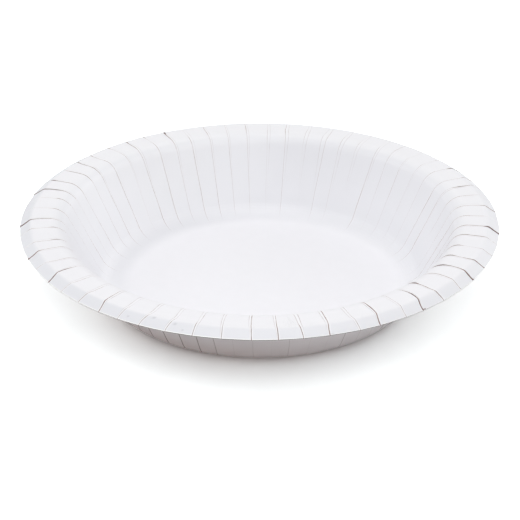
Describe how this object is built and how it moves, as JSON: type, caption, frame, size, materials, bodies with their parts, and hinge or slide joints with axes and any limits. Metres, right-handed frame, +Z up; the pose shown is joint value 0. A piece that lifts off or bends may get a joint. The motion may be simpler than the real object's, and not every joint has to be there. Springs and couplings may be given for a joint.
{
  "type": "paper bowl",
  "caption": "Round pressed paper bowl with a flat floor, a leaning pleated wall, and a wide flat pleated brim ending in a turned-down lip.",
  "frame": {"origin": "centre of the floor's underside, where the bowl stands on the table", "axes": "+Z up along the bowl's axis, from the floor towards its open mouth; +X and +Y lie level on the table"},
  "size_m": [0.175, 0.175, 0.0294],
  "materials": {
    "coated_board": "satin"
  },
  "bodies": {
    "root": {"bowl": "coated_board"}
  },
  "joints": []
}
